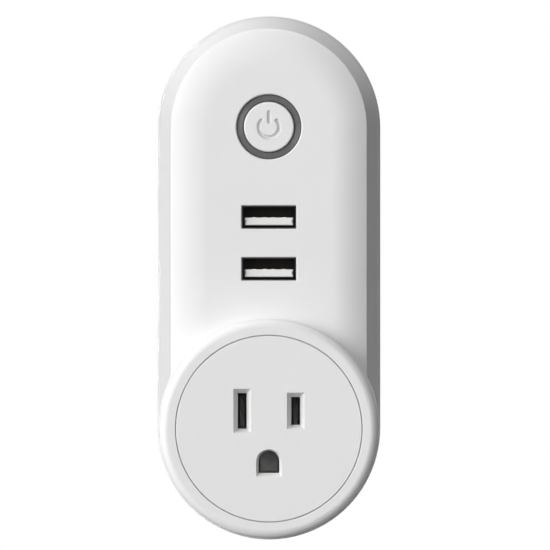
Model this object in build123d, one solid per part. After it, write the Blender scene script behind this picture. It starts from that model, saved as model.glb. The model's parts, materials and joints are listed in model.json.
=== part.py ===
from build123d import *
import os
from math import cos, radians, sin, tan

# A wall smart plug: a tall pill-shaped case that plugs straight into a NEMA 5-15 wall outlet and
# passes the outlet on through a raised round socket, with two USB-A ports and one lit power button.
#
# Millimetres. +Z is up and the front faces -Y. The origin lies on the wall plane, midway between the
# two flat plug blades. "Depth" is the distance in front of the wall, so a depth d is y = -d.

# ---------------------------------------------------------------- driving dimensions
BASE_R = 26.62           # half the width of the case at the wall, and the end radius
COLLAR_R = 26.4          # round collar behind the raised socket
PITCH = 71.75            # from the socket's axis up to the button's axis
SOCKET_Z = -4.23         # the socket's axis, below the line of the blades
BUTTON_Z = SOCKET_Z + PITCH

SPLIT_DEPTH = 9.0        # top of the rear housing
SPLIT_GAP = 0.3          # shadow gap between the two case halves
REAR_TOP_R = 26.0        # rear housing's radius at the split
COVER_FOOT_R = 25.95     # front cover's radius at the split
COVER_RIM_R = 23.3       # front cover's radius at its front edge
FRONT_DEPTH = 28.0       # flat front face of the case
RIM_DROP = 1.5           # how far the face has fallen at the front edge
FLAT_R = 15.2            # half width of the flat middle of the face
SOCKET_DEPTH = 35.0      # face of the raised round socket

FLOOR = 2.5              # rear housing's back wall
WALL = 2.0               # case walls
REAR_IN_R = 23.0         # rear housing's cavity
LIP_R = 24.1             # locating lip that stands inside the front cover
LIP_TOP = 11.0

DISC_R = 26.05           # raised socket disc
DISC_ROUND = 1.95        # its rounded front edge
FACE_R = 22.1            # face plate set into the disc
FACE_GAP = 0.15          # joint line round the face plate
FACE_T = 2.5
LEDGE_R = 20.5           # the disc's inner ledge under the face plate
COVER_HOLE_R = 18.0      # hole in the front cover behind the socket
COLLAR_IN_R = 24.2       # cavity inside the round collar

# NEMA 5-15 pattern: two flat blades and one round earth pin
BLADE_X = 6.35
EARTH_Z = -11.89
BLADE_T = 1.5
BLADE_W = 6.35
BLADE_L = 17.9
BLADE_HOLE_Y = 11.7
BLADE_HOLE_R = 1.55
PIN_R = 2.375
PIN_ROOT_R = 2.7         # the earth pin inside its block
PIN_L = 20.6
SLOT_W = 2.1
NEUTRAL_H = 8.45
LINE_H = 6.6
EARTH_SLOT_R = 2.45
EARTH_FOOT = 2.85        # flat of the D-shaped hole, below the pin's axis
SLOT_BEVEL = 1.05        # width of the lead-in round each slot
SLOT_LEAN = 28           # degrees its walls lean out from the slot's own walls
EARTH_LEAD = (3.05, 3.8, 0.25, 1.15)   # radius, flat, drop and depth of the earth hole's lead-in

# USB-A receptacles
USB_UPPER_Z = 46.05
USB_LOWER_Z = 33.73
USB_IN_W = 12.5
USB_IN_H = 5.0
USB_WALL = 0.22
USB_MOUTH = 27.7
USB_OUT_W = USB_IN_W + 2 * USB_WALL
USB_OUT_H = USB_IN_H + 2 * USB_WALL
TONGUE_W = 11.5
TONGUE_T = 1.8
TONGUE_FOOT = 0.58       # gap under the tongue
TONGUE_TIP = 26.9
TONGUE_ROOT = 14.6
CONTACTS = [(-3.5, 26.2), (-1.0, 25.2), (1.0, 25.2), (3.5, 26.2)]   # each contact's x and its tip's depth

# Button and light ring
RING_HOLE_R = 7.75
RING_R = 7.65
RING_IN_R = 6.1
RING_TOP = 27.45
CAP_R = 5.95
CAP_TOP = 28.0
MARK_R = 2.42            # the engraved on/off mark: mean radius of its broken ring
MARK_W = 1.1             # width of its groove at the surface
MARK_DEEP = 0.75
MARK_GAP = 50            # half angle of the ring's gap, to the ends' centres
MARK_BAR = (1.26, 3.54)  # centres of the bar's ends, above the ring's centre

# Boards
BOARD_T = 1.6
POWER_BOARD = 4.2        # depth of the board's back
POWER_TOP = POWER_BOARD + BOARD_T
CONTROL_BOARD = 19.0
CONTROL_TOP = CONTROL_BOARD + BOARD_T
USB_BOARD = 12.2
USB_TOP = USB_BOARD + BOARD_T

# Case screws, two beside the button and two beside the socket
SCREWS = [(s * 15.5, BUTTON_Z + 8.5) for s in (-1, 1)] + [(s * 16.0, SOCKET_Z - 12.0) for s in (-1, 1)]
BOSS_R = 3.7
POST_R = 2.8
COUNTERBORE_R = 2.9
COUNTERBORE = 5.0
SHANK_R = 1.25
PILOT_R = 1.3
CLEAR_R = 1.6
STANDOFFS = [(s * 17.0, z) for s in (-1, 1) for z in (27.0, 68.0)]

os.makedirs("parts", exist_ok=True)
parts = {}


# ---------------------------------------------------------------- helpers
def block(x0, x1, d0, d1, z0, z1):
    """A box between two x, two depths and two heights."""
    return Pos((x0 + x1) / 2, -(d0 + d1) / 2, (z0 + z1) / 2) * Box(x1 - x0, d1 - d0, z1 - z0)


def rod(r, d0, d1, x=0.0, z=0.0):
    """A cylinder that runs along the depth."""
    return Pos(x, -(d0 + d1) / 2, z) * Rot(90, 0, 0) * Cylinder(r, d1 - d0)


def slab(outline, d0, d1):
    """An outline drawn in x and z, given thickness from depth d0 to depth d1."""
    return extrude(Plane.XZ.offset(d0) * outline, d1 - d0)


def tall_slab(outline, z0, z1):
    """An outline drawn in x and depth, given height from z0 to z1."""
    plane = Plane(origin=(0, 0, z0), x_dir=(1, 0, 0), z_dir=(0, 0, -1))
    return extrude(plane * outline, z1 - z0, dir=(0, 0, 1))


def wide_slab(outline, x0, x1):
    """An outline drawn in height and depth, given width from x0 to x1."""
    plane = Plane(origin=(x0, 0, 0), x_dir=(0, 0, 1), z_dir=(1, 0, 0))
    return extrude(plane * outline, x1 - x0, dir=(1, 0, 0))


def polygon(*points):
    return make_face(Polyline(*points, close=True))


def pill(half):
    """A pill-shaped solid from half of its cross-section, drawn in radius and depth."""
    half = mirror(half, Plane.XZ)
    end = revolve(half, Axis.Y, 180)
    side = extrude(half, PITCH, dir=(0, 0, 1))
    lower = Pos(0, 0, SOCKET_Z) * (end + side + mirror(side, Plane.YZ))
    return lower + Pos(0, 0, BUTTON_Z) * Rot(0, 180, 0) * end


def turned(half, z=0.0):
    """A round solid about the depth axis, from half of its cross-section."""
    return Pos(0, 0, z) * revolve(mirror(half, Plane.XZ), Axis.Y, 360)


def edges_at(shape, depth, radius=None, z=0.0):
    """The edges that lie wholly at one depth, and on one radius if that is given."""
    found = [e for e in shape.edges() if abs(e.bounding_box().min.Y + depth) < 1e-3
             and abs(e.bounding_box().max.Y + depth) < 1e-3]
    if radius is not None:
        found = [e for e in found if e.geom_type == GeomType.CIRCLE and abs(e.radius - radius) < 1e-3
                 and abs(e.arc_center.Z - z) < 1e-3]
    return found


# ---------------------------------------------------------------- case
def rear_housing():
    """The half that sits on the wall: floor, walls, locating lip, screw bosses and board standoffs."""
    edge = 0.8
    outline = make_face([
        Line((0, 0), (BASE_R - edge, 0)),
        RadiusArc((BASE_R - edge, 0), (BASE_R, edge), -edge),
        Line((BASE_R, edge), (REAR_TOP_R, SPLIT_DEPTH)),
        Line((REAR_TOP_R, SPLIT_DEPTH), (0, SPLIT_DEPTH)),
        Line((0, SPLIT_DEPTH), (0, 0)),
    ])
    shell = pill(outline) + rod(COLLAR_R, edge, SPLIT_DEPTH, 0, SOCKET_Z)
    shell += pill(polygon((0, FLOOR), (LIP_R, FLOOR), (LIP_R, LIP_TOP), (0, LIP_TOP)))
    shell -= pill(polygon((0, FLOOR), (REAR_IN_R, FLOOR), (REAR_IN_R, LIP_TOP + 1), (0, LIP_TOP + 1)))
    for x, z in SCREWS:
        shell += rod(BOSS_R, FLOOR - 0.5, SPLIT_DEPTH, x, z)
        shell -= rod(COUNTERBORE_R, -1, COUNTERBORE, x, z) + rod(CLEAR_R, 0, SPLIT_DEPTH + 1, x, z)
    for x, z in STANDOFFS:
        shell += rod(2.4, FLOOR - 0.5, POWER_BOARD, x, z)
        shell -= rod(0.85, 1.0, POWER_BOARD + 1, x, z)
    # stepped seat for the blade block, and a shallow bed for the rating plate
    shell -= rod(BLOCK_R + 0.05, -1, FLOOR + 1, 0, SOCKET_Z)
    shell -= slab(Pos(0, PLATE_Z) * RectangleRounded(PLATE_W + 0.4, PLATE_H + 0.4, 2.2), -1, PLATE_T + 0.05)
    return shell


def front_cover():
    """The tall front half, with a softly crowned face and a round collar under the socket."""
    foot = SPLIT_DEPTH + SPLIT_GAP
    rim = FRONT_DEPTH - RIM_DROP
    crown = COVER_RIM_R - FLAT_R
    crown_r = (crown**2 + RIM_DROP**2) / (2 * RIM_DROP)
    outline = make_face([
        Line((0, foot), (COVER_FOOT_R, foot)),
        Line((COVER_FOOT_R, foot), (COVER_RIM_R, rim)),
        RadiusArc((COVER_RIM_R, rim), (FLAT_R, FRONT_DEPTH), -crown_r),
        Line((FLAT_R, FRONT_DEPTH), (0, FRONT_DEPTH)),
        Line((0, FRONT_DEPTH), (0, foot)),
    ])
    slope = (COVER_FOOT_R - COVER_RIM_R) / (rim - foot)
    in_top = FRONT_DEPTH - WALL
    step = LIP_TOP + 0.4
    wall_r = COVER_FOOT_R - WALL - slope * (step - foot)
    shoulder = in_top - 1.6
    cavity = polygon(
        (0, foot - 1), (LIP_R + 0.2, foot - 1), (LIP_R + 0.2, step), (wall_r, step),
        (wall_r - slope * (shoulder - step), shoulder), (19.4, in_top), (0, in_top))
    body = pill(outline)
    body = fillet(edges_at(body, rim), 0.25)
    body += rod(COLLAR_R, foot, FRONT_DEPTH, 0, SOCKET_Z)
    body -= pill(cavity)
    body -= rod(COLLAR_IN_R, foot - 1, in_top, 0, SOCKET_Z)
    for x, z in SCREWS:
        body += rod(POST_R, SPLIT_DEPTH, in_top + 0.3, x, z)
        body -= rod(PILOT_R, SPLIT_DEPTH - 1, 21.0, x, z)
    body -= rod(COVER_HOLE_R, in_top - 1, FRONT_DEPTH + 1, 0, SOCKET_Z)
    body -= rod(RING_HOLE_R, in_top - 1, FRONT_DEPTH + 1, 0, BUTTON_Z)
    for z in (USB_UPPER_Z, USB_LOWER_Z):
        opening = Rectangle(USB_OUT_W + 0.1, USB_OUT_H + 0.1)
        body -= slab(Pos(0, z) * opening, in_top - 1, FRONT_DEPTH + 1)
        body -= bevel(Pos(0, z) * opening, 0.15, FRONT_DEPTH)
    body -= turned(polygon((0, FRONT_DEPTH - 0.25), (RING_HOLE_R, FRONT_DEPTH - 0.25),
                           (RING_HOLE_R + 0.35, FRONT_DEPTH + 0.1), (0, FRONT_DEPTH + 0.1)), BUTTON_Z)
    return body


def bevel(outline, size, depth, lean=45):
    """A cutter that opens a hole out by a size at the given depth; its walls lean out by some degrees."""
    deep = size / tan(radians(lean))
    over = 0.2
    inner = Plane.XZ.offset(depth - deep) * outline
    return extrude(inner, deep + over, taper=-lean)


def socket_ring():
    """The raised disc's outer ring, with a ledge under the face plate."""
    half = make_face([
        Line((LEDGE_R, FRONT_DEPTH), (DISC_R - 0.2, FRONT_DEPTH)),
        Line((DISC_R - 0.2, FRONT_DEPTH), (DISC_R, FRONT_DEPTH + 0.2)),
        Line((DISC_R, FRONT_DEPTH + 0.2), (DISC_R, SOCKET_DEPTH - DISC_ROUND)),
        RadiusArc((DISC_R, SOCKET_DEPTH - DISC_ROUND), (DISC_R - DISC_ROUND, SOCKET_DEPTH), -DISC_ROUND),
        Line((DISC_R - DISC_ROUND, SOCKET_DEPTH), (FACE_R + FACE_GAP + 0.12, SOCKET_DEPTH)),
        Line((FACE_R + FACE_GAP + 0.12, SOCKET_DEPTH), (FACE_R + FACE_GAP, SOCKET_DEPTH - 0.12)),
        Line((FACE_R + FACE_GAP, SOCKET_DEPTH - 0.12), (FACE_R + FACE_GAP, SOCKET_DEPTH - FACE_T)),
        Line((FACE_R + FACE_GAP, SOCKET_DEPTH - FACE_T), (LEDGE_R, SOCKET_DEPTH - FACE_T)),
        Line((LEDGE_R, SOCKET_DEPTH - FACE_T), (LEDGE_R, FRONT_DEPTH)),
    ])
    return turned(half, SOCKET_Z)


def d_shape(r, foot):
    """The earth hole: round towards the blades and flat on the far side."""
    return make_face([
        Line((-r, 0), (-r, -foot)),
        Line((-r, -foot), (r, -foot)),
        Line((r, -foot), (r, 0)),
        ThreePointArc((r, 0), (0, r), (-r, 0)),
    ])


def socket_face():
    """The round face plate with its two blade slots and its earth hole, each with a sloped lead-in."""
    half = polygon((0, SOCKET_DEPTH - FACE_T), (FACE_R, SOCKET_DEPTH - FACE_T), (FACE_R, SOCKET_DEPTH - 0.12),
                   (FACE_R - 0.12, SOCKET_DEPTH), (0, SOCKET_DEPTH))
    face = turned(half, SOCKET_Z)
    for x, height in ((-BLADE_X, NEUTRAL_H), (BLADE_X, LINE_H)):
        outline = Pos(x, 0) * Rectangle(SLOT_W, height)
        face -= slab(outline, SOCKET_DEPTH - FACE_T - 1, SOCKET_DEPTH + 1)
        face -= bevel(outline, SLOT_BEVEL, SOCKET_DEPTH, SLOT_LEAN)
    outline = Pos(0, EARTH_Z) * d_shape(EARTH_SLOT_R, EARTH_FOOT)
    r, foot, drop, deep = EARTH_LEAD
    mouth = Pos(0, EARTH_Z - drop) * d_shape(r, foot - drop)
    face -= slab(outline, SOCKET_DEPTH - FACE_T - 1, SOCKET_DEPTH + 1)
    face -= loft([Plane.XZ.offset(SOCKET_DEPTH - deep) * outline, Plane.XZ.offset(SOCKET_DEPTH) * mouth], ruled=True)
    return face


def screw(x, z, head_r, head_d0, head_h, shank_r, tip_depth):
    """A pan-head screw with a cross recess, driven in from the back: its head lies nearest the wall."""
    shoulder = head_d0 + head_h
    body = turned(polygon((0, head_d0), (head_r - 0.5, head_d0), (head_r, head_d0 + 0.6), (head_r, shoulder),
                          (shank_r, shoulder), (shank_r, tip_depth - 1.2), (0.3, tip_depth), (0, tip_depth)))
    arm = head_r * 0.62
    cross = block(-arm, arm, head_d0 - 1, head_d0 + 1.0, -0.35, 0.35)
    cross += block(-0.35, 0.35, head_d0 - 1, head_d0 + 1.0, -arm, arm)
    return Pos(x, 0, z) * (body - cross)


def case_screws():
    return [screw(x, z, 2.7, COUNTERBORE - 2.2, 2.2, SHANK_R, 18.0) for x, z in SCREWS]


# ---------------------------------------------------------------- plug side
BLOCK_R = 15.0
BLOCK_FLANGE_R = 16.2
BLOCK_TOP = 6.0
PLATE_W, PLATE_H, PLATE_T, PLATE_Z = 29.6, 23.6, 0.2, 47.0


def blade_block():
    """The insulator that holds the blades and the earth pin in the rear housing."""
    body = rod(BLOCK_R, 0, BLOCK_TOP, 0, SOCKET_Z) + rod(BLOCK_FLANGE_R, FLOOR, BLOCK_TOP, 0, SOCKET_Z)
    for x in (-BLADE_X, BLADE_X):
        body -= block(x - BLADE_T / 2, x + BLADE_T / 2, -1, BLOCK_TOP + 1, -BLADE_W / 2, BLADE_W / 2)
        body -= block(x - BLADE_T / 2, x + BLADE_T / 2, 3.0, 4.2, -4.2, 4.2)
    body -= rod(PIN_ROOT_R, -1, BLOCK_TOP + 1, 0, EARTH_Z) + rod(3.2, 3.0, 4.2, 0, EARTH_Z)
    return body


def blade(x, tab_depth):
    """A flat plug blade: tapered tip, two ears that lock it in the block, and a narrow tab inside."""
    half, tip, ear, tab = BLADE_W / 2, 1.3, 4.2, 1.6
    right = [(half - tip, -BLADE_L), (half, tip - BLADE_L), (half, 3.0), (ear, 3.0), (ear, 4.2), (half, 4.2),
             (half, BLOCK_TOP), (tab, BLOCK_TOP), (tab, tab_depth)]
    left = [(-z, d) for z, d in right[::-1]]
    solid = wide_slab(polygon(*right, *left), x - BLADE_T / 2, x + BLADE_T / 2)
    tip_edges = [e for e in solid.edges() if abs(e.center().Y - BLADE_L) < 1e-3 and e.length > 2]
    hole = Pos(x, BLADE_HOLE_Y, 0) * Rot(0, 90, 0) * Cylinder(BLADE_HOLE_R, 2 * BLADE_T)
    return chamfer(tip_edges, 0.45) - hole


def earth_pin():
    """The round earth pin, with a domed tip, a locking shoulder and a stud for the strap."""
    r, root, rise = PIN_R, PIN_ROOT_R, 1.6
    dome_r = (r**2 + rise**2) / (2 * rise)
    pin = turned(polygon((0, 8.0), (1.4, 8.0), (1.4, BLOCK_TOP), (root, BLOCK_TOP), (root, 4.2), (3.2, 4.2),
                         (3.2, 3.0), (root, 3.0), (root, 0), (r, 0), (r, rise - PIN_L), (0, rise - PIN_L)), EARTH_Z)
    dome = Pos(0, PIN_L - dome_r, EARTH_Z) * Sphere(dome_r)
    return pin + (dome & rod(r, -PIN_L, rise - PIN_L, 0, EARTH_Z))


def rating_plate():
    """A thin blank plate let into the back."""
    return slab(Pos(0, PLATE_Z) * RectangleRounded(PLATE_W, PLATE_H, 2.0), 0.05, 0.05 + PLATE_T)


# ---------------------------------------------------------------- socket side
CARRIER_FOOT = 11.0
WELL_FOOT = 13.0
CLIP_FOOT = 13.0
CLIP_TAB = 9.0


def contact_carrier():
    """The dark moulded block behind the face plate, with one well for each spring contact."""
    body = rod(LEDGE_R - 0.2, FRONT_DEPTH, SOCKET_DEPTH - FACE_T, 0, SOCKET_Z)
    body += block(-12.2, 12.2, CARRIER_FOOT, FRONT_DEPTH + 0.1, SOCKET_Z - 13.0, SOCKET_Z + 11.4)
    for x in (-BLADE_X, BLADE_X):
        body -= block(x - 2.4, x + 2.4, WELL_FOOT, 40, -4.9, 4.9)
        body -= block(x - 0.4, x + 0.4, 0, WELL_FOOT + 1, -1.7, 1.7)
    body -= block(-3.6, 3.6, WELL_FOOT, 40, EARTH_Z - 3.6, EARTH_Z + 3.6)
    body -= block(-0.4, 0.4, 0, WELL_FOOT + 1, EARTH_Z - 1.7, EARTH_Z + 1.7)
    return body


def spring_clip(x, z, width, root, throat, mouth, top, tab_depth):
    """A U-shaped spring contact: two leaves that pinch a blade or pin, and a tab through the carrier."""
    t = 0.5
    bend, pinch = CLIP_FOOT + 5.0, top - 3.4
    right = [(root, bend), (throat, pinch), (mouth, top)]
    outer = [(px + t, d) for px, d in right]
    points = [(root + t, CLIP_FOOT)] + outer + right[::-1] + [(root, CLIP_FOOT + t)]
    points += [(-px, d) for px, d in points[::-1]]
    clip = tall_slab(polygon(*points), z - width / 2, z + width / 2)
    clip += block(-0.3, 0.3, tab_depth, CLIP_FOOT + 0.2, z - 1.5, z + 1.5)
    return Pos(x, 0, 0) * clip


def strap(x, z):
    """A flat brass link between a blade's tab and the contact in front of it."""
    return slab(Pos(x, z) * RectangleRounded(5.0, 6.4, 0.8), 8.0, 9.0)


# ---------------------------------------------------------------- button
def power_mark():
    """A cutter for the standard on/off mark: a broken ring with a bar in its gap, with sloping walls."""
    low, high = CAP_TOP - MARK_DEEP, CAP_TOP + 0.2
    foot = 0.1
    spread = (MARK_W / 2 - foot) / MARK_DEEP
    brim = foot + spread * (high - low)
    section = polygon((-foot, low), (foot, low), (brim, high), (-brim, high))
    end = turned(polygon((0, low), (foot, low), (brim, high), (0, high)))
    ring = revolve(Pos(MARK_R, 0) * mirror(section, Plane.XZ), Axis.Y, 360 - 2 * MARK_GAP)
    mark = Rot(0, MARK_GAP - 90, 0) * ring
    for s in (-1, 1):
        mark += Pos(s * MARK_R * sin(radians(MARK_GAP)), 0, MARK_R * cos(radians(MARK_GAP))) * end
    mark += tall_slab(section, *MARK_BAR)
    for z in MARK_BAR:
        mark += Pos(0, 0, z) * end
    return mark


def button_cap():
    """The round cap: a hollow skirt with a retaining flange, and a stem that rests on the switch."""
    cap = turned(make_face([
        Line((0, 24.9), (1.6, 24.9)),
        Line((1.6, 24.9), (1.6, 26.8)),
        Line((1.6, 26.8), (4.95, 26.8)),
        Line((4.95, 26.8), (4.95, 24.0)),
        Line((4.95, 24.0), (6.9, 24.0)),
        Line((6.9, 24.0), (6.9, 24.9)),
        Line((6.9, 24.9), (CAP_R, 24.9)),
        Line((CAP_R, 24.9), (CAP_R, CAP_TOP - 0.35)),
        RadiusArc((CAP_R, CAP_TOP - 0.35), (CAP_R - 0.35, CAP_TOP), -0.35),
        Line((CAP_R - 0.35, CAP_TOP), (0, CAP_TOP)),
        Line((0, CAP_TOP), (0, 24.9)),
    ]), BUTTON_Z)
    return cap - Pos(0, 0, BUTTON_Z - 0.1) * power_mark()


def light_ring():
    """The smoked light guide round the button, with a flange under the cover."""
    return turned(polygon((RING_IN_R, 25.0), (9.6, 25.0), (9.6, 26.0), (RING_R, 26.0), (RING_R, RING_TOP - 0.15),
                          (RING_R - 0.15, RING_TOP), (RING_IN_R + 0.15, RING_TOP), (RING_IN_R, RING_TOP - 0.15)),
                  BUTTON_Z)


def tact_switch():
    """The switch's square body, hollow for its plunger."""
    body = block(-3, 3, CONTROL_TOP, 24.1, BUTTON_Z - 3, BUTTON_Z + 3)
    body -= rod(2.35, 21.4, 23.6, 0, BUTTON_Z) + rod(1.85, 21.4, 25, 0, BUTTON_Z)
    for sx in (-1, 1):
        for sz in (-1, 1):
            body += block(*sorted((sx * 3.0, sx * 3.9)), CONTROL_TOP, CONTROL_TOP + 0.25,
                          BUTTON_Z + sz * 2.2 - 0.4, BUTTON_Z + sz * 2.2 + 0.4)
    return body


def tact_dome():
    """The snap dome under the plunger."""
    foot, rise, spread, t = 21.4, 1.05, 2.2, 0.15
    r = (spread**2 + rise**2) / (2 * rise)
    shell = Sphere(r) - Sphere(r - t)
    return Pos(0, r - foot - rise, BUTTON_Z) * shell & rod(spread + 1, foot, foot + rise + 1, 0, BUTTON_Z)


def tact_plunger():
    return rod(1.75, 22.9, 24.9, 0, BUTTON_Z) + rod(2.25, 22.9, 23.5, 0, BUTTON_Z)


# ---------------------------------------------------------------- USB ports
def usb_shell(z):
    """The receptacle's folded metal shell."""
    shell = slab(Pos(0, z) * RectangleRounded(USB_OUT_W, USB_OUT_H, 0.45), USB_TOP, USB_MOUTH)
    return shell - slab(Pos(0, z) * RectangleRounded(USB_IN_W, USB_IN_H, 0.25), USB_TOP + 0.25, USB_MOUTH + 1)


def usb_insert(z):
    """The dark insulator that closes the back of the shell and grips the tongue's root."""
    insert = block(-6.1, 6.1, USB_TOP + 0.25, 16.6, z - 2.4, z + 2.4)
    low = z - USB_IN_H / 2 + TONGUE_FOOT
    insert -= block(-TONGUE_W / 2 - 0.02, TONGUE_W / 2 + 0.02, TONGUE_ROOT, 17, low - 0.02, low + TONGUE_T + 0.02)
    for x in (-4.2, 0.0, 4.2):
        insert -= block(x - 0.7, x + 0.7, 15.8, 17, z + 1.3, z + 2.0)
    return insert


def usb_tongue(z):
    """The white tongue: bevelled along its tip, with a small notch at the middle of each end."""
    low = z - USB_IN_H / 2 + TONGUE_FOOT
    half = TONGUE_W / 2
    tongue = block(-half, half, TONGUE_ROOT + 0.02, TONGUE_TIP, low, low + TONGUE_T)
    tongue = chamfer(edges_at(tongue, TONGUE_TIP), 0.15)
    middle = low + TONGUE_T / 2
    for x0, x1 in ((-half - 1, 0.32 - half), (half - 0.32, half + 1)):
        tongue -= block(x0, x1, TONGUE_TIP - 2.4, TONGUE_TIP + 1, middle - 0.36, middle + 0.36)
    for x, tip in CONTACTS:
        tongue -= block(x - 0.52, x + 0.52, TONGUE_ROOT, tip + 0.02, low + TONGUE_T - 0.14, low + TONGUE_T + 1)
    return tongue


def usb_contacts():
    """Both ports' gilded contacts, four to a tongue, let into its upper face and barely proud of it."""
    contacts = []
    for port in (USB_UPPER_Z, USB_LOWER_Z):
        top = port - USB_IN_H / 2 + TONGUE_FOOT + TONGUE_T
        contacts += [block(x - 0.5, x + 0.5, 16.7, tip, top - 0.13, top + 0.06) for x, tip in CONTACTS]
    return contacts


def usb_board():
    return slab(Pos(0, 40.0) * RectangleRounded(18.0, 26.0, 0.8), USB_BOARD, USB_TOP)


def pin_header(xs, z, foot, top):
    """A row of square pins in a plastic strip."""
    strip = block(min(xs) - 1.27, max(xs) + 1.27, foot, foot + 2.5, z - 1.27, z + 1.27)
    pins = [block(x - 0.32, x + 0.32, foot + 2.5, top, z - 0.32, z + 0.32) for x in xs]
    for p in pins:
        strip += p
    return strip


# ---------------------------------------------------------------- boards and components
def power_board():
    """The mains board: wide below, narrow between the two upper screw bosses."""
    outline = Pos(0, 46.5) * RectangleRounded(40.0, 49.0, 1.5) + Pos(0, 78.0) * RectangleRounded(22.0, 18.0, 1.5)
    board = slab(outline, POWER_BOARD, POWER_TOP)
    for x, z in STANDOFFS:
        board -= rod(1.1, 0, 10, x, z)
    return board


def board_screws():
    """Four small screws that hold the mains board, with their heads in front of it."""
    found = []
    for x, z in STANDOFFS:
        body = rod(1.9, POWER_TOP, POWER_TOP + 1.3, x, z) + rod(0.8, 1.3, POWER_TOP + 0.1, x, z)
        body -= block(x - 1.2, x + 1.2, POWER_TOP + 0.6, POWER_TOP + 2, z - 0.25, z + 0.25)
        body -= block(x - 0.25, x + 0.25, POWER_TOP + 0.6, POWER_TOP + 2, z - 1.2, z + 1.2)
        found.append(body)
    return found


def control_board():
    outline = Pos(0, 62.5) * RectangleRounded(35.0, 17.0, 1.0) + Pos(0, 78.0) * RectangleRounded(22.0, 15.6, 1.0)
    return slab(outline, CONTROL_BOARD, CONTROL_TOP)


def ring_leds():
    """Four surface-mount lamps under the light ring."""
    lamps = []
    for k in range(4):
        a = radians(45 + 90 * k)
        lamps.append(Pos(8.5 * cos(a), -(CONTROL_TOP + 0.4), BUTTON_Z + 8.5 * sin(a)) * Rot(0, -(45 + 90 * k), 0)
                     * Box(1.25, 0.8, 2.0))
    return lamps


def electrolytic(r, height, x, z):
    """An electrolytic can with its crimp groove and scored top."""
    foot, top = POWER_TOP, POWER_TOP + height
    half = polygon((0, foot), (r - 0.3, foot), (r, foot + 0.3), (r, foot + 1.6), (r - 0.45, foot + 2.0), (r, foot + 2.4),
                   (r, top - 0.5), (r - 0.5, top), (r - 0.9, top), (r - 0.9, top - 0.25), (0, top - 0.25))
    can = Pos(x, 0, z) * revolve(mirror(half, Plane.XZ), Axis.Y, 360)
    for turn in (0, 90):
        can -= Pos(x, -top, z) * Rot(0, turn, 0) * Box(1.2 * r, 0.8, 0.3)
    return can


TRANSFORMER_Z = 61.0


def transformer_core():
    """Two ferrite E halves that close round the bobbin."""
    z = TRANSFORMER_Z
    core = block(-6.5, 6.5, 8.0, 16.8, z - 3.0, z + 3.0)
    for s in (-1, 1):
        core -= block(*sorted((s * 1.5, s * 5.0)), 9.6, 15.2, z - 4, z + 4)
    return core


def transformer_bobbin():
    """The bobbin: two flanges on a sleeve round the centre leg, and a pin rail at each end."""
    z = TRANSFORMER_Z
    body = block(-2.0, 2.0, 9.65, 15.15, z - 3.5, z + 3.5)
    for depth in (9.65, 14.55):
        body += block(-4.9, 4.9, depth, depth + 0.6, z - 6.5, z + 6.5)
    for s in (-1, 1):
        body += block(-5.6, 5.6, POWER_TOP, 9.7, *sorted((z + s * 3.1, z + s * 6.6)))
    return body - block(-1.5, 1.5, 8, 17, z - 3.0, z + 3.0)


def transformer_winding():
    """The taped winding round the bobbin's sleeve."""
    z = TRANSFORMER_Z
    body = tall_slab(Pos(0, 12.4) * RectangleRounded(9.6, 4.3, 0.3), z - 6.2, z + 6.2)
    return body - block(-2.0, 2.0, 9, 16, z - 3.5, z + 3.5)


def fuse():
    """A glass fuse with two end caps, lying under the USB board."""
    axis = -(POWER_TOP + 1.9)
    tube = Pos(0, axis, 25.4) * Rot(0, 90, 0) * Cylinder(1.7, 6.0)
    caps = [Pos(s * 4.0, axis, 25.4) * Rot(0, 90, 0) * Cylinder(1.9, 2.0) for s in (-1, 1)]
    return tube, caps


def disc_part(x, z, r, t):
    """A disc-shaped component on edge, with rounded rims and two legs."""
    foot = POWER_TOP + 0.8
    disc = Pos(x, -(foot + r), z) * Rot(0, 90, 0) * Cylinder(r, t)
    disc = fillet(disc.edges().filter_by(GeomType.CIRCLE), t * 0.4)
    for s in (-1, 1):
        disc += rod(0.35, POWER_TOP, foot + 1.2, x, z + s * r * 0.6)
    return disc


def bridge_rectifier():
    body = block(-6.6, -1.6, POWER_TOP + 0.1, POWER_TOP + 2.6, 31.0, 35.1)
    for x in (-5.4, -2.8):
        for z0, z1 in ((30.0, 31.0), (35.1, 36.1)):
            body += block(x - 0.35, x + 0.35, POWER_TOP, POWER_TOP + 0.9, z0, z1)
    return body


def drum_inductor(x, z):
    """A drum core with a wound waist."""
    core = turned(polygon((0, POWER_TOP), (3.0, POWER_TOP), (3.0, POWER_TOP + 1.0), (1.6, POWER_TOP + 1.0),
                          (1.6, POWER_TOP + 4.5), (3.0, POWER_TOP + 4.5), (3.0, POWER_TOP + 5.5), (0, POWER_TOP + 5.5)))
    winding = rod(2.7, POWER_TOP + 1.0, POWER_TOP + 4.5) - rod(1.6, 0, 20)
    return Pos(x, 0, z) * core, Pos(x, 0, z) * winding


def driver_chip():
    body = block(-6.0, -2.0, POWER_TOP + 0.1, POWER_TOP + 1.6, 41.0, 46.0)
    for k in range(4):
        z = 41.6 + 1.27 * k
        for s, x in ((-1, -6.0), (1, -2.0)):
            body += block(*sorted((x, x + s * 1.0)), POWER_TOP, POWER_TOP + 0.4, z - 0.2, z + 0.2)
            body += block(*sorted((x, x + s * 0.3)), POWER_TOP, POWER_TOP + 0.8, z - 0.2, z + 0.2)
    return body


def wifi_module():
    return slab(Pos(0, 77.6) * RectangleRounded(16.0, 14.6, 0.4), CONTROL_BOARD - 0.9, CONTROL_BOARD)


def wifi_can():
    """The pressed shield over the radio chip."""
    can = block(-6.0, 6.0, 16.0, CONTROL_BOARD - 0.9, 70.8, 80.0)
    can = fillet([e for e in can.edges() if abs(e.center().Y + 16.0) < 1e-3], 0.4)
    return can - block(-5.8, 5.8, 16.25, CONTROL_BOARD, 71.0, 79.8)


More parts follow.
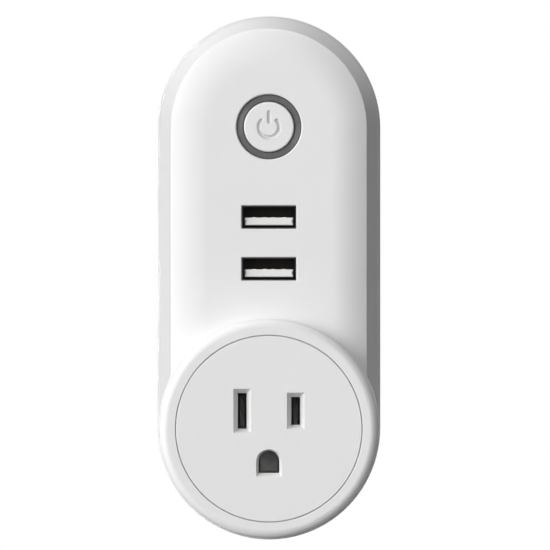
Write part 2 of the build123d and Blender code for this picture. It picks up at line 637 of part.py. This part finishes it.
# ---------------------------------------------------------------- relay
RELAY_X0, RELAY_X1 = 9.6, 20.0
RELAY_Z0, RELAY_Z1 = 29.0, 47.4
RELAY_X = (RELAY_X0 + RELAY_X1) / 2
COIL_Z = 34.2
HINGE_Z, HINGE_DEPTH = 39.4, 16.4
CORE_TOP = 15.9
CONTACT_Z = 44.2
RELAY_FLOOR = 7.3


def relay_base():
    """The moulded base that everything in the relay stands on."""
    return block(RELAY_X0 + 0.85, RELAY_X1 - 0.85, POWER_TOP, RELAY_FLOOR, RELAY_Z0 + 0.85, RELAY_Z1 - 0.85)


def relay_cover():
    """The clear dust cover."""
    outer = block(RELAY_X0, RELAY_X1, POWER_TOP, 21.1, RELAY_Z0, RELAY_Z1)
    upright = outer.edges().filter_by(Axis.Y)
    outer = fillet(upright + outer.edges().group_by(Axis.Y)[0], 0.6)
    return outer - block(RELAY_X0 + 0.8, RELAY_X1 - 0.8, POWER_TOP - 1, 20.3, RELAY_Z0 + 0.8, RELAY_Z1 - 0.8)


def relay_coil():
    """Bobbin and winding in one: two flanges and a wound barrel."""
    coil = rod(3.9, RELAY_FLOOR + 1, 9.1) + rod(3.4, 9.1, 14.6) + rod(3.9, 14.6, CORE_TOP - 0.5)
    return Pos(RELAY_X, 0, COIL_Z) * (coil - rod(1.55, 0, 20))


def relay_yoke():
    """The iron core, the strip under the coil and the leg that the armature rocks on."""
    yoke = rod(1.5, RELAY_FLOOR + 0.5, CORE_TOP, RELAY_X, COIL_Z) + rod(2.6, CORE_TOP - 0.5, CORE_TOP, RELAY_X, COIL_Z)
    yoke += block(RELAY_X - 3.2, RELAY_X + 3.2, RELAY_FLOOR, RELAY_FLOOR + 1, COIL_Z - 3.5, HINGE_Z)
    return yoke + block(RELAY_X - 3.2, RELAY_X + 3.2, RELAY_FLOOR, HINGE_DEPTH - 0.1, HINGE_Z - 0.9, HINGE_Z)


def relay_armature():
    """The rocking iron plate over the core."""
    return block(RELAY_X - 3.2, RELAY_X + 3.2, HINGE_DEPTH, HINGE_DEPTH + 0.8, 30.6, HINGE_Z)


def relay_spring():
    """The leaf on the armature, and the contact rivet at its far end."""
    leaf = block(RELAY_X - 1.8, RELAY_X + 1.8, HINGE_DEPTH + 0.8, HINGE_DEPTH + 1.0, 33.0, 45.6)
    return leaf + rod(1.2, HINGE_DEPTH + 1.0, HINGE_DEPTH + 1.5, RELAY_X, CONTACT_Z)


def relay_terminal():
    """The fixed contact on its bent terminal."""
    face = HINGE_DEPTH + 1.9
    strip = rod(1.2, face, face + 0.5, RELAY_X, CONTACT_Z)
    strip += block(RELAY_X - 1.9, RELAY_X + 1.9, face + 0.5, face + 1.0, 42.6, 46.5)
    return strip + block(RELAY_X - 1.9, RELAY_X + 1.9, RELAY_FLOOR, face + 1.0, 46.0, 46.5)


# ---------------------------------------------------------------- leads
def lead(points, r):
    """An insulated lead: straight runs joined by arcs as large as the runs allow."""
    points = [Vector(x, -d, z) for x, d, z in points]
    radii = []
    for a, b, c in zip(points, points[1:], points[2:]):
        turn = (b - a).get_angle(c - b)
        radii.append(0.45 * min((b - a).length, (c - b).length) / tan(radians(turn / 2)))
    path = FilletPolyline(*points, radius=radii)
    start = points[0]
    section = Plane(origin=tuple(start), z_dir=tuple(points[1] - points[0])) * Circle(r)
    return sweep(section, path=path)


LEAD_R = 1.1
LEADS = {
    "neutral_lead": [(-BLADE_X, 8.5, 3.2), (-BLADE_X, 8.6, 8.6), (-9.4, 9.2, 14.0), (-11.8, 9.4, 19.4),
                     (-12.1, 9.6, 24.4), (-12.1, POWER_TOP, 24.4)],
    "line_in_lead": [(BLADE_X, 7.15, 1.6), (BLADE_X, 7.2, 6.4), (8.0, 7.6, 11.6), (9.0, 8.6, 17.4),
                     (9.0, 9.6, 23.6), (9.0, POWER_TOP, 23.6)],
    "line_out_lead": [(BLADE_X, 9.8, 1.5), (7.0, 9.8, 6.0), (11.4, 9.8, 11.2), (13.2, 9.8, 17.2),
                      (13.0, 9.8, 24.0), (13.0, POWER_TOP, 24.0)],
}


# ---------------------------------------------------------------- build every node
parts["rear_housing"] = rear_housing()
parts["front_cover"] = front_cover()
parts["socket_ring"] = socket_ring()
parts["socket_face"] = socket_face()
parts["case_screws"] = case_screws()
parts["rating_plate"] = rating_plate()
parts["blade_block"] = blade_block()
parts["neutral_blade"] = blade(-BLADE_X, 8.0)
parts["line_blade"] = blade(BLADE_X, 7.4)
parts["earth_pin"] = earth_pin()
parts["contact_carrier"] = contact_carrier()
parts["neutral_contact"] = spring_clip(-BLADE_X, 0, 7.0, 1.7, 0.5, 1.5, 30.0, CLIP_TAB)
parts["line_contact"] = spring_clip(BLADE_X, 0, 7.0, 1.7, 0.5, 1.5, 30.0, CLIP_TAB + 0.4)
parts["earth_contact"] = spring_clip(0, EARTH_Z, 5.0, 2.5, 2.05, 2.8, 30.0, CLIP_TAB)
parts["neutral_strap"] = strap(-BLADE_X, 0)
parts["earth_strap"] = strap(0, EARTH_Z)
parts["button_cap"] = button_cap()
parts["light_ring"] = light_ring()
parts["tact_switch"] = tact_switch()
parts["tact_dome"] = tact_dome()
parts["tact_plunger"] = tact_plunger()
for name, height in (("upper", USB_UPPER_Z), ("lower", USB_LOWER_Z)):
    parts[f"{name}_usb_shell"] = usb_shell(height)
    parts[f"{name}_usb_tongue"] = usb_tongue(height)
parts["usb_inserts"] = [usb_insert(z) for z in (USB_UPPER_Z, USB_LOWER_Z)]
parts["usb_contacts"] = usb_contacts()
parts["usb_board"] = usb_board()
parts["usb_header"] = pin_header([-3.81, -1.27, 1.27, 3.81], 50.6, POWER_TOP, USB_BOARD)
parts["power_board"] = power_board()
parts["board_screws"] = board_screws()
parts["control_board"] = control_board()
parts["control_header"] = pin_header([-15.2, -12.66, -10.12], 56.4, POWER_TOP, CONTROL_BOARD)
parts["ring_leds"] = ring_leds()
parts["wifi_module"] = wifi_module()
parts["wifi_shield"] = wifi_can()
parts["bulk_capacitor"] = electrolytic(5.0, 16.0, -14.5, 35.5)
parts["output_capacitor"] = electrolytic(4.0, 11.5, -14.0, 46.6)
parts["transformer_core"] = transformer_core()
parts["transformer_bobbin"] = transformer_bobbin()
parts["transformer_winding"] = transformer_winding()
parts["fuse_tube"], parts["fuse_caps"] = fuse()
parts["varistor"] = disc_part(14.0, 56.0, 3.9, 3.2)
parts["safety_capacitor"] = disc_part(-14.0, 63.4, 3.4, 3.0)
parts["bridge_rectifier"] = bridge_rectifier()
parts["inductor_core"], parts["inductor_winding"] = drum_inductor(4.6, 34.0)
parts["driver_chip"] = driver_chip()
parts["relay_base"] = relay_base()
parts["relay_cover"] = relay_cover()
parts["relay_coil"] = relay_coil()
parts["relay_yoke"] = relay_yoke()
parts["relay_armature"] = relay_armature()
parts["relay_spring"] = relay_spring()
parts["relay_terminal"] = relay_terminal()
for name, route in LEADS.items():
    parts[name] = lead(route, LEAD_R)

for name, shape in parts.items():
    if isinstance(shape, list):
        shape = Compound(children=shape)
    export_step(shape, f"parts/{name}.step")
print(len(parts), "nodes")
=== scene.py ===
import json
import math

import bmesh
import bpy
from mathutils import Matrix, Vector


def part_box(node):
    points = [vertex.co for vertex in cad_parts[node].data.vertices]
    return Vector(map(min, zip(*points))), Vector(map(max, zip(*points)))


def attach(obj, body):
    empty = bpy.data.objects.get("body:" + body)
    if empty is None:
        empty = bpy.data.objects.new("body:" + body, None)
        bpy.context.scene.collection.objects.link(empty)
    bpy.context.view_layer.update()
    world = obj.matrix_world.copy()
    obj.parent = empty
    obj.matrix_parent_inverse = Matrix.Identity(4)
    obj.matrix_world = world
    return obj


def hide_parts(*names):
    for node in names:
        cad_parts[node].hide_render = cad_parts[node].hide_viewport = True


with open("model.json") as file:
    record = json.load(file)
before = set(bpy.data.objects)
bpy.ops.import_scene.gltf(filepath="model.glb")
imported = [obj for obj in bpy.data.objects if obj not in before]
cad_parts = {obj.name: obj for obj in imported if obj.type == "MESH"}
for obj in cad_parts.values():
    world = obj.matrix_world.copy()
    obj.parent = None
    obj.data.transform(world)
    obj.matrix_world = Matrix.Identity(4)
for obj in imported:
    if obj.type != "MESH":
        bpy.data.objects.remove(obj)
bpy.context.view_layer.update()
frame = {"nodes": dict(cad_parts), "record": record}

scene = bpy.context.scene
nodes = frame["nodes"]
MM = 0.001
MICRON = 1e-6
WAVE_PERIOD = 0.314      # a wave texture of scale 1 repeats after this many metres
NOISE_LOW, NOISE_HIGH = 0.3, 0.7      # most of a noise lies between these


# ---------------------------------------------------------------- materials
class Look:
    """A node material: a Principled shader whose colour, roughness and bump come from small textures."""

    def __init__(self, name):
        self.material = bpy.data.materials.new(name)
        self.material.use_nodes = True
        self.tree = self.material.node_tree
        self.tree.nodes.clear()
        self.shader = self.node("ShaderNodeBsdfPrincipled")
        output = self.node("ShaderNodeOutputMaterial")
        self.link(self.shader.outputs["BSDF"], output.inputs["Surface"])
        self.place = self.node("ShaderNodeTexCoord").outputs["Object"]
        self.height = None

    def node(self, kind, **settings):
        made = self.tree.nodes.new(kind)
        for key, value in settings.items():
            setattr(made, key, value)
        return made

    def link(self, out, into):
        self.tree.links.new(out, into)

    def set(self, **values):
        for key, value in values.items():
            self.shader.inputs[key.replace("_", " ")].default_value = value
        return self

    def stretched(self, x, y, z):
        """The object's coordinates; a pattern is drawn out along an axis that has a small factor."""
        mapping = self.node("ShaderNodeMapping")
        mapping.inputs["Scale"].default_value = (x, y, z)
        self.link(self.place, mapping.inputs["Vector"])
        return mapping.outputs["Vector"]

    def noise(self, size, detail=3.0, roughness=0.55, place=None):
        """Noise whose features are about this many millimetres across."""
        made = self.node("ShaderNodeTexNoise")
        made.inputs["Scale"].default_value = 1 / (size * MM)
        made.inputs["Detail"].default_value = detail
        made.inputs["Roughness"].default_value = roughness
        self.link(place or self.place, made.inputs["Vector"])
        return made.outputs["Fac"]

    def cells(self, size):
        """Distance to the nearest of scattered points, about this many millimetres apart."""
        made = self.node("ShaderNodeTexVoronoi")
        made.inputs["Scale"].default_value = 1 / (size * MM)
        self.link(self.place, made.inputs["Vector"])
        return made.outputs["Distance"]

    def bands(self, size, axis, distortion):
        """Parallel ridges this many millimetres apart."""
        made = self.node("ShaderNodeTexWave", wave_type="BANDS", bands_direction=axis)
        made.inputs["Scale"].default_value = WAVE_PERIOD / (size * MM)
        made.inputs["Distortion"].default_value = distortion
        self.link(self.place, made.inputs["Vector"])
        return made.outputs["Fac"]

    def colour(self, value, first, second, start=NOISE_LOW, end=NOISE_HIGH):
        """Base colour that goes from the first to the second as the value rises from start to end."""
        made = self.node("ShaderNodeValToRGB")
        made.color_ramp.elements[0].position = start
        made.color_ramp.elements[0].color = (*first, 1)
        made.color_ramp.elements[1].position = end
        made.color_ramp.elements[1].color = (*second, 1)
        self.link(value, made.inputs["Fac"])
        self.link(made.outputs["Color"], self.shader.inputs["Base Color"])

    def rough(self, value, low, high):
        """Roughness that goes from low to high with the value."""
        made = self.node("ShaderNodeMapRange")
        made.inputs["From Min"].default_value = NOISE_LOW
        made.inputs["From Max"].default_value = NOISE_HIGH
        made.inputs["To Min"].default_value = low
        made.inputs["To Max"].default_value = high
        self.link(value, made.inputs["Value"])
        self.link(made.outputs["Result"], self.shader.inputs["Roughness"])

    def bump(self, value, micrometres, strength=0.5):
        """Adds one layer of relief of about this height."""
        made = self.node("ShaderNodeBump")
        made.inputs["Distance"].default_value = micrometres * MICRON
        made.inputs["Strength"].default_value = strength
        self.link(value, made.inputs["Height"])
        if self.height is not None:
            self.link(self.height, made.inputs["Normal"])
        self.height = made.outputs["Normal"]
        self.link(self.height, self.shader.inputs["Normal"])


def grey(value):
    return (value, value, value)


def moulded(name, colour, roughness=0.4, grain=0.14, relief=5.0, drift=0.02, **extra):
    """Injection-moulded plastic: a fine spark-eroded grain and a faint drift of tone and gloss."""
    look = Look(name).set(**extra)
    look.colour(look.noise(9.0, 2.0), tuple(c * (1 - drift) for c in colour), colour)
    look.rough(look.noise(0.5), roughness - 0.05, roughness + 0.06)
    look.bump(look.noise(grain, 4.0, 0.6), relief)
    look.bump(look.cells(grain * 2.6), relief * 0.5, 0.3)
    return look.material


def plated(name, colour, roughness, lay=(1, 1, 1), relief=1.2, dull=0.75):
    """Plated or bare metal, with a lay of fine lines where one axis is stretched."""
    look = Look(name).set(Metallic=1.0)
    lines = look.noise(0.09, 4.0, 0.65, look.stretched(*lay))
    cloud = look.noise(2.2, 3.0)
    look.colour(cloud, tuple(c * dull for c in colour), colour, 0.25, 0.6)
    look.rough(lines, roughness * 0.7, roughness * 1.4)
    look.bump(lines, relief, 0.6)
    look.bump(cloud, relief * 3, 0.15)
    return look.material


def board(name):
    """Glass-fibre board under green solder mask, with tracks showing as raised lines."""
    look = Look(name).set(Coat_Weight=0.5, Coat_Roughness=0.12)
    tracks = look.node("ShaderNodeTexBrick", offset=0.5, squash=1.0)
    tracks.inputs["Scale"].default_value = 1 / (4.0 * MM)
    tracks.inputs["Mortar Size"].default_value = 0.055
    tracks.inputs["Mortar Smooth"].default_value = 0.3
    tracks.inputs["Brick Width"].default_value = 0.9
    tracks.inputs["Row Height"].default_value = 0.42
    turn = look.node("ShaderNodeMapping")
    turn.inputs["Rotation"].default_value = (math.radians(90), 0, 0)
    look.link(look.place, turn.inputs["Vector"])
    look.link(turn.outputs["Vector"], tracks.inputs["Vector"])
    look.colour(tracks.outputs["Fac"], (0.012, 0.11, 0.045), (0.03, 0.24, 0.09), 0.1, 0.9)
    look.rough(look.noise(0.4), 0.3, 0.45)
    look.bump(tracks.outputs["Fac"], 35, 0.6)
    look.bump(look.noise(0.35, 4.0), 6, 0.4)
    return look.material


def wound(name, dark, light, pitch):
    """Enamelled wire laid side by side along y, this many millimetres from turn to turn. Its colour runs
    from dark where the turns' relief is low to light where it is high: painted shade in the grooves
    between turns and a painted highlight on each crown.
    """
    look = Look(name).set(Metallic=0.6, Coat_Weight=0.6, Coat_Roughness=0.15)
    turns = look.bands(pitch, "Y", 0.3)
    # painted shade and highlight: the dark colour in the low grooves of the bump, the light colour on the
    # high crowns of the turns
    look.colour(turns, dark, light, 0.1, 0.8)
    look.rough(look.noise(0.3), 0.25, 0.4)
    look.bump(turns, pitch * 300, 0.7)
    return look.material


def clear(name, colour, roughness, weight):
    """Clear or tinted plastic or glass, faintly uneven."""
    look = Look(name).set(Transmission_Weight=weight, IOR=1.5)
    look.colour(look.noise(6.0, 2.0), tuple(c * 0.93 for c in colour), colour)
    look.rough(look.noise(0.8), roughness, roughness + 0.05)
    look.bump(look.noise(2.5, 2.0), 5, 0.3)
    return look.material


LOOKS = {
    "white_case": moulded("white_case", grey(0.77), roughness=0.42, drift=0.012,
                          Specular_IOR_Level=0.42),
    "smoked_ring": moulded("smoked_ring", grey(0.125), roughness=0.34, grain=0.2, relief=3.0,
                           drift=0.15, Coat_Weight=0.15, Coat_Roughness=0.2),
    "dark_carrier": moulded("dark_carrier", grey(0.36), roughness=0.55, grain=0.2, relief=8.0,
                            drift=0.08),
    "usb_black": moulded("usb_black", grey(0.008), roughness=0.42, grain=0.16, relief=2.0, drift=0.2),
    "usb_white": moulded("usb_white", grey(0.8), roughness=0.45, grain=0.16, relief=4.0),
    "gilt": plated("gilt", (0.9, 0.66, 0.28), roughness=0.22, lay=(1, 0.08, 1)),
    "nickel_brass": plated("nickel_brass", (0.79, 0.77, 0.72), roughness=0.2, lay=(1, 0.06, 1),
                           relief=1.6, dull=0.86),
    "spring_bronze": plated("spring_bronze", (0.36, 0.36, 0.35), roughness=0.51, lay=(1, 0.1, 1)),
    "zinc_screw": plated("zinc_screw", (0.36, 0.37, 0.38), roughness=0.54),
    "rating_foil": moulded("rating_foil", grey(0.52), roughness=0.5, grain=0.3, relief=2.0, drift=0.03,
                           Metallic=0.12),
    "blade_block_white": moulded("blade_block_white", (0.76, 0.76, 0.75), roughness=0.5, grain=0.2,
                                 relief=8.0),
    "board_green": board("board_green"),
    "header_black": moulded("header_black", grey(0.01), roughness=0.62, grain=0.2, relief=6.0,
                            drift=0.1, Specular_IOR_Level=0.3),
    "chip_black": moulded("chip_black", (0.035, 0.035, 0.038), roughness=0.6, grain=0.12, relief=10.0,
                          drift=0.1),
    "led_clear": moulded("led_clear", (0.85, 0.8, 0.42), roughness=0.25, grain=0.3, relief=3.0,
                         drift=0.1, Coat_Weight=0.6),
    "shield_tin": plated("shield_tin", (0.72, 0.72, 0.7), roughness=0.34, lay=(0.1, 1, 1)),
    "capacitor_sleeve": moulded("capacitor_sleeve", (0.02, 0.028, 0.07), roughness=0.28, grain=0.6,
                                relief=6.0, drift=0.2, Coat_Weight=0.3),
    "ferrite": moulded("ferrite", (0.055, 0.055, 0.06), roughness=0.5, grain=0.25, relief=14.0,
                       drift=0.3),
    "bobbin_black": moulded("bobbin_black", (0.04, 0.04, 0.045), roughness=0.45, grain=0.2, relief=6.0,
                            drift=0.1),
    "tape_yellow": moulded("tape_yellow", (0.8, 0.52, 0.05), roughness=0.25, grain=0.9, relief=14.0,
                           drift=0.12, Coat_Weight=0.4),
    # copper_wire: the darker colour is painted shade in the grooves between turns, the lighter one a
    # painted highlight on the crowns
    "copper_wire": wound("copper_wire", (0.3, 0.1, 0.03), (0.8, 0.36, 0.14), pitch=0.22),
    "fuse_glass": clear("fuse_glass", (0.92, 0.96, 0.96), roughness=0.03, weight=1.0),
    "varistor_blue": moulded("varistor_blue", (0.04, 0.13, 0.42), roughness=0.3, grain=0.5,
                             relief=14.0, drift=0.15, Coat_Weight=0.4),
    "capacitor_orange": moulded("capacitor_orange", (0.62, 0.22, 0.03), roughness=0.3, grain=0.5,
                                relief=14.0, drift=0.15, Coat_Weight=0.4),
    "relay_clear": clear("relay_clear", (0.1, 0.28, 0.7), roughness=0.08, weight=0.75),
    "relay_base_black": moulded("relay_base_black", grey(0.045), roughness=0.5, grain=0.2, relief=6.0,
                                drift=0.1),
    "iron": plated("iron", (0.62, 0.61, 0.59), roughness=0.36, lay=(1, 0.1, 1)),
    "lead_white": moulded("lead_white", (0.74, 0.74, 0.72), roughness=0.4, grain=0.5, relief=6.0),
    "lead_black": moulded("lead_black", grey(0.03), roughness=0.4, grain=0.5, relief=6.0, drift=0.1),
    "lead_red": moulded("lead_red", (0.5, 0.03, 0.02), roughness=0.4, grain=0.5, relief=6.0, drift=0.1),
    "switch_black": moulded("switch_black", (0.035, 0.035, 0.04), roughness=0.45, grain=0.2,
                            relief=5.0, drift=0.1),
    "switch_steel": plated("switch_steel", (0.72, 0.72, 0.7), roughness=0.22),
}
for part in frame["record"]["subparts"]:
    mesh = nodes[part["node"]].data
    for index in range(len(mesh.materials)):
        mesh.materials[index] = LOOKS[part["material_slot"]]


# ---------------------------------------------------------------- round pieces finer than their CAD nodes
LATHE_STEPS = 144
SHARP_EDGE = math.radians(38)


def lathe(name, node, body, slot, outline):
    """Turns a closed outline of (radius, depth) in millimetres about the node's middle line, along y.

    The piece rides on the body and stands in for the node.
    """
    middle_x, middle_z = middle(node)
    mesh = bpy.data.meshes.new(name)
    points, faces = [], []
    rows = len(outline)
    total = rows * LATHE_STEPS
    for step in range(LATHE_STEPS):
        turn = 2 * math.pi * step / LATHE_STEPS
        across, up = math.cos(turn), math.sin(turn)
        points += [(middle_x + r * across * MM, -d * MM, middle_z + r * up * MM) for r, d in outline]
        for row in range(rows):
            a = step * rows + row
            b = step * rows + (row + 1) % rows
            faces.append((a, b, (b + rows) % total, (a + rows) % total))
    mesh.from_pydata(points, [], faces)
    shape = bmesh.new()
    shape.from_mesh(mesh)
    bmesh.ops.recalc_face_normals(shape, faces=shape.faces)
    shape.to_mesh(mesh)
    shape.free()
    mesh.polygons.foreach_set("use_smooth", [True] * len(mesh.polygons))
    mesh.set_sharp_from_angle(angle=SHARP_EDGE)
    mesh.materials.append(LOOKS[slot])
    piece = bpy.data.objects.new(name, mesh)
    scene.collection.objects.link(piece)
    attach(piece, body)
    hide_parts(node)


def middle(node):
    """The x and z of a node's middle."""
    low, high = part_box(node)
    return ((low[0] + high[0]) / 2, (low[2] + high[2]) / 2)


def scallops(radius, start, end, turns, proud):
    """The outside of a one-layer winding, as (radius, depth): each turn of wire stands out as an arc."""
    pitch = (end - start) / turns
    arc = (0.0, 0.45, 0.78, 0.96, 1.0, 0.96, 0.78, 0.45)
    return [(radius - proud * (1 - high), start + pitch * (turn + place / len(arc)))
            for turn in range(turns) for place, high in enumerate(arc)] + [(radius - proud, end)]


def ridged_ring():
    """The light guide: a flanged ring with fine concentric ridges on its face, to spread the glow."""
    inside, outside, flange = 6.1, 7.65, 9.6
    foot, flange_top, face = 25.0, 26.0, 27.45
    ridges, ridge_deep, ridge_steps = 4, 0.07, 8
    first, last = 6.32, 7.46
    back = [(inside, foot), (flange, foot), (flange, flange_top), (outside, flange_top)]
    outer_edge = [(outside, face - 0.16), (7.6, face - 0.05), (7.53, face)]
    inner_edge = [(6.24, face), (6.15, face - 0.05), (inside, face - 0.16)]
    ridged = []
    for step in range(ridges * ridge_steps + 1):
        r = last + (first - last) * step / (ridges * ridge_steps)
        dip = ridge_deep * (0.5 - 0.5 * math.cos(2 * math.pi * step / ridge_steps))
        ridged.append((r, face - ridge_deep + dip))
    return back + outer_edge + ridged + inner_edge


def inductor_wire():
    """One layer of wire on the inductor's core."""
    core, foot, top = 1.62, 6.82, 10.28
    return [(core, top), (core, foot)] + scallops(2.7, foot, top, turns=10, proud=0.15)


def coil_wire():
    """The relay's coil: one layer of wire between two flanges with broken edges."""
    core, flat, flange = 1.58, 3.8, 3.9
    foot, top = 8.32, 15.38
    rear_flange = [(core, foot), (flat, foot), (flange, 8.4), (flange, 9.02), (flat, 9.1)]
    front_flange = [(flat, 14.6), (flange, 14.68), (flange, 15.3), (flat, top)]
    return [(core, top)] + rear_flange + scallops(3.4, 9.12, 14.58, turns=20, proud=0.12) + front_flange


lathe("light_guide", "light_ring", "case", "smoked_ring", ridged_ring())
lathe("wound_inductor", "inductor_winding", "case", "copper_wire", inductor_wire())
lathe("wound_coil", "relay_coil", "case", "copper_wire", coil_wire())


# ---------------------------------------------------------------- camera, light and floor
def aim(obj, direction):
    """Points a camera or light along a direction, with z up."""
    obj.rotation_mode = "QUATERNION"
    obj.rotation_quaternion = Vector(direction).to_track_quat("-Z", "Y")


def sun(name, towards, strength, angle):
    """A distant light that shines along a direction; the angle in degrees is its softness."""
    data = bpy.data.lights.new(name, "SUN")
    data.energy = strength
    data.angle = math.radians(angle)
    lamp = bpy.data.objects.new(name, data)
    scene.collection.objects.link(lamp)
    aim(lamp, towards)


VIEW_WIDTH = 0.13145      # metres across the picture, at VIEW_DEPTH
VIEW_DEPTH = 0.005       # in front of the wall plane
VIEW_CENTRE = (0.00144, 0.03228)      # x and z in the middle of the picture
LENS = 1300
SENSOR = 36
CLIP = (0.5, 50)
AMBIENT = 0.085
WHITE = (1, 1, 1, 1)

camera_data = bpy.data.cameras.new("camera")
camera_data.lens = LENS
camera_data.sensor_width = SENSOR
camera = bpy.data.objects.new("camera", camera_data)
scene.collection.objects.link(camera)
distance = LENS / SENSOR * VIEW_WIDTH
camera.location = (VIEW_CENTRE[0], -VIEW_DEPTH - distance, VIEW_CENTRE[1])
aim(camera, (0, 1, 0))
camera_data.clip_start, camera_data.clip_end = CLIP
scene.camera = camera

sun("key", (0.87, 0.49, -0.03), 5.6, 66)
sun("front", (0.0, 1.0, 0.0), 1.35, 36)
sun("top", (-0.05, -0.12, -0.99), 1.9, 50)
sun("back", (0.015, -1.0, 0.0), 1.9, 10)

world = bpy.data.worlds.new("studio")
scene.world = world
world.use_nodes = True
tree = world.node_tree
tree.nodes.clear()
path = tree.nodes.new("ShaderNodeLightPath")
seen = tree.nodes.new("ShaderNodeBackground")
seen.inputs["Strength"].default_value = 1.0
seen.inputs["Color"].default_value = WHITE
ambient = tree.nodes.new("ShaderNodeBackground")
ambient.inputs["Strength"].default_value = AMBIENT
ambient.inputs["Color"].default_value = WHITE
mix = tree.nodes.new("ShaderNodeMixShader")
out = tree.nodes.new("ShaderNodeOutputWorld")
tree.links.new(path.outputs["Is Camera Ray"], mix.inputs["Fac"])
tree.links.new(ambient.outputs["Background"], mix.inputs[1])
tree.links.new(seen.outputs["Background"], mix.inputs[2])
tree.links.new(mix.outputs["Shader"], out.inputs["Surface"])
scene.view_settings.view_transform = "Standard"

FLOOR_Z = -0.16
FLOOR_R = 7.4
FLOOR_SIDES = 96
floor_mesh = bpy.data.meshes.new("floor")
ring = [(FLOOR_R * math.cos(a), FLOOR_R * math.sin(a), FLOOR_Z)
        for a in (2 * math.pi * k / FLOOR_SIDES for k in range(FLOOR_SIDES))]
floor_mesh.from_pydata(ring, [], [list(range(FLOOR_SIDES))])
floor = bpy.data.objects.new("floor", floor_mesh)
scene.collection.objects.link(floor)
floor_look = Look("floor")
floor_look.colour(floor_look.noise(60.0), grey(0.84), grey(0.86))
floor_look.rough(floor_look.noise(4.0), 0.7, 0.8)
floor_mesh.materials.append(floor_look.material)
floor.visible_diffuse = False      # the floor is pale to look at, but throws no light up at the object
